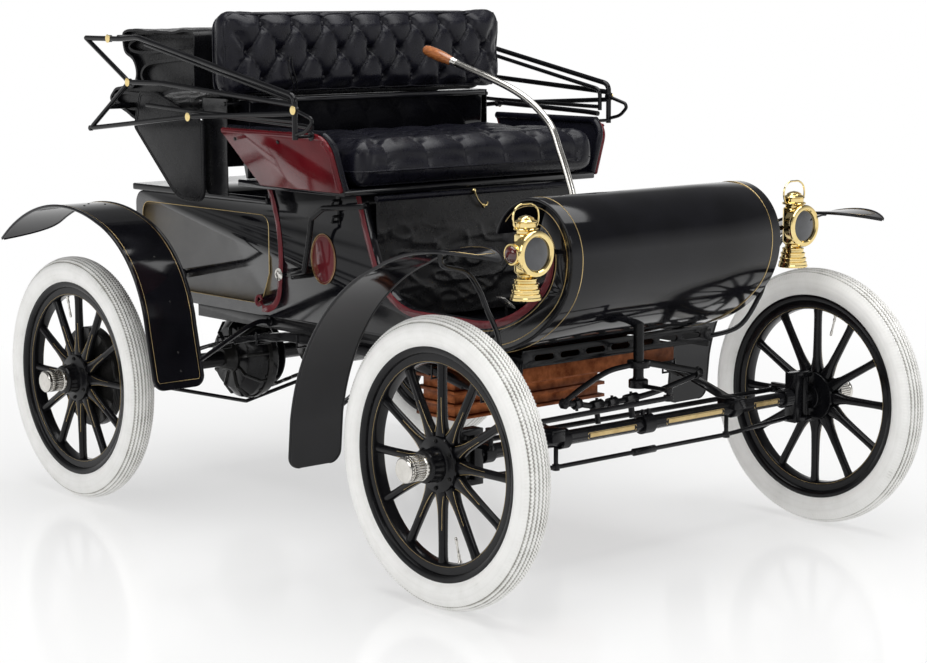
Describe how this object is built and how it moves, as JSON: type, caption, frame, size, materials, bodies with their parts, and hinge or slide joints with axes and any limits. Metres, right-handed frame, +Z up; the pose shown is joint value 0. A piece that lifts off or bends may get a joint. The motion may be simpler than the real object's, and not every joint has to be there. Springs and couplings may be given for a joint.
{
  "type": "curved-dash runabout car",
  "caption": "Early two-seat runabout with rolled dash, tiller steering, wood-spoked wheels, tufted seat and folded leather top.",
  "frame": {"origin": "on the ground under the middle of the wheelbase, on the centre line", "axes": "-Y is the car's front, +X its left, +Z up"},
  "size_m": [1.653, 2.404, 1.4599],
  "materials": {
    "body_paint": "gloss black lacquer",
    "burgundy_paint": "gloss burgundy lacquer",
    "chassis_enamel": "gloss black enamel",
    "cast_iron": "black painted casting",
    "copper": "aged copper",
    "black_leather": "glazed tufted leather",
    "top_leather": "black top leather",
    "brass": "polished brass",
    "nickel": "polished nickel plate",
    "grip_wood": "varnished wood",
    "wheel_paint": "gloss black on wood",
    "white_rubber": "white rubber"
  },
  "bodies": {
    "chassis": {"frame_rails": "chassis_enamel", "front_cross_member": "chassis_enamel", "springs": "chassis_enamel", "front_axle": "chassis_enamel", "front_truss_rod": "chassis_enamel", "rear_axle": "chassis_enamel", "engine_block": "cast_iron", "drive_chain": "cast_iron", "seat_curtain": "top_leather", "radiator": "copper", "floor_board": "body_paint", "dash_panel": "body_paint", "side_panels": "body_paint", "seat_front_board": "body_paint", "seat_rear_board": "body_paint", "rear_panel": "body_paint", "mouldings": "burgundy_paint", "apron": "black_leather", "seat_base": "body_paint", "seat_sides": "burgundy_paint", "seat_back_board": "body_paint", "seat_cushion": "black_leather", "back_cushion": "black_leather", "folded_top": "top_leather", "top_flaps": "top_leather", "top_irons": "chassis_enamel", "front_fenders": "body_paint", "rear_fenders": "body_paint", "lamps": "brass", "lamp_brackets": "chassis_enamel", "starting_crank": "chassis_enamel"},
    "deck_lid": {"deck_lid": "body_paint"},
    "tiller": {"tiller": "nickel", "tiller_grip": "grip_wood"},
    "drag_link": {"drag_link": "chassis_enamel"},
    "tie_rod": {"tie_rod": "chassis_enamel"},
    "knuckle_left": {"knuckle_left": "chassis_enamel"},
    "knuckle_right": {"knuckle_right": "chassis_enamel"},
    "wheel_fl": {"wheel_fl": "wheel_paint", "tyre_fl": "white_rubber"},
    "wheel_fr": {"wheel_fr": "wheel_paint", "tyre_fr": "white_rubber"},
    "wheel_rl": {"wheel_rl": "wheel_paint", "tyre_rl": "white_rubber"},
    "wheel_rr": {"wheel_rr": "wheel_paint", "tyre_rr": "white_rubber"}
  },
  "joints": [
    {"name": "steering", "type": "hinge", "parent": "chassis", "child": "knuckle_left", "pos_m": [0.64, -0.838, 0.364], "axis": [0, 0, 1], "range_deg": [-28, 28]},
    {"name": "knuckle_right_turn", "type": "hinge", "parent": "chassis", "child": "knuckle_right", "pos_m": [-0.64, -0.838, 0.364], "axis": [0, 0, 1], "range_deg": [-28, 28]},
    {"name": "tie_rod_swing", "type": "hinge", "parent": "knuckle_left", "child": "tie_rod", "pos_m": [0.64, -0.728, 0.374], "axis": [0, 0, 1], "range_deg": [-28, 28]},
    {"name": "tiller_turn", "type": "hinge", "parent": "chassis", "child": "tiller", "pos_m": [0, -0.815, 0.472], "axis": [0, 0, 1], "range_deg": [-28, 28]},
    {"name": "drag_link_swing", "type": "hinge", "parent": "tiller", "child": "drag_link", "pos_m": [0, -0.925, 0.452], "axis": [0, 0, 1], "range_deg": [-28, 28]},
    {"name": "wheel_fl_spin", "type": "hinge", "parent": "knuckle_left", "child": "wheel_fl", "pos_m": [0.6985, -0.838, 0.364], "axis": [1, 0, 0], "continuous": true},
    {"name": "wheel_fr_spin", "type": "hinge", "parent": "knuckle_right", "child": "wheel_fr", "pos_m": [-0.6985, -0.838, 0.364], "axis": [1, 0, 0], "continuous": true},
    {"name": "wheel_rl_spin", "type": "hinge", "parent": "chassis", "child": "wheel_rl", "pos_m": [0.6985, 0.838, 0.364], "axis": [1, 0, 0], "continuous": true},
    {"name": "wheel_rr_spin", "type": "hinge", "parent": "chassis", "child": "wheel_rr", "pos_m": [-0.6985, 0.838, 0.364], "axis": [1, 0, 0], "continuous": true},
    {"name": "deck_lid_hinge", "type": "hinge", "parent": "chassis", "child": "deck_lid", "pos_m": [0, 0.3005, 0.9205], "axis": [1, 0, 0], "range_deg": [0, 18]}
  ],
  "couplings": [
    {"joint": "knuckle_right_turn", "follows": "steering", "ratio": 1},
    {"joint": "tiller_turn", "follows": "steering", "ratio": 1},
    {"joint": "tie_rod_swing", "follows": "steering", "ratio": -1},
    {"joint": "drag_link_swing", "follows": "steering", "ratio": -1}
  ]
}
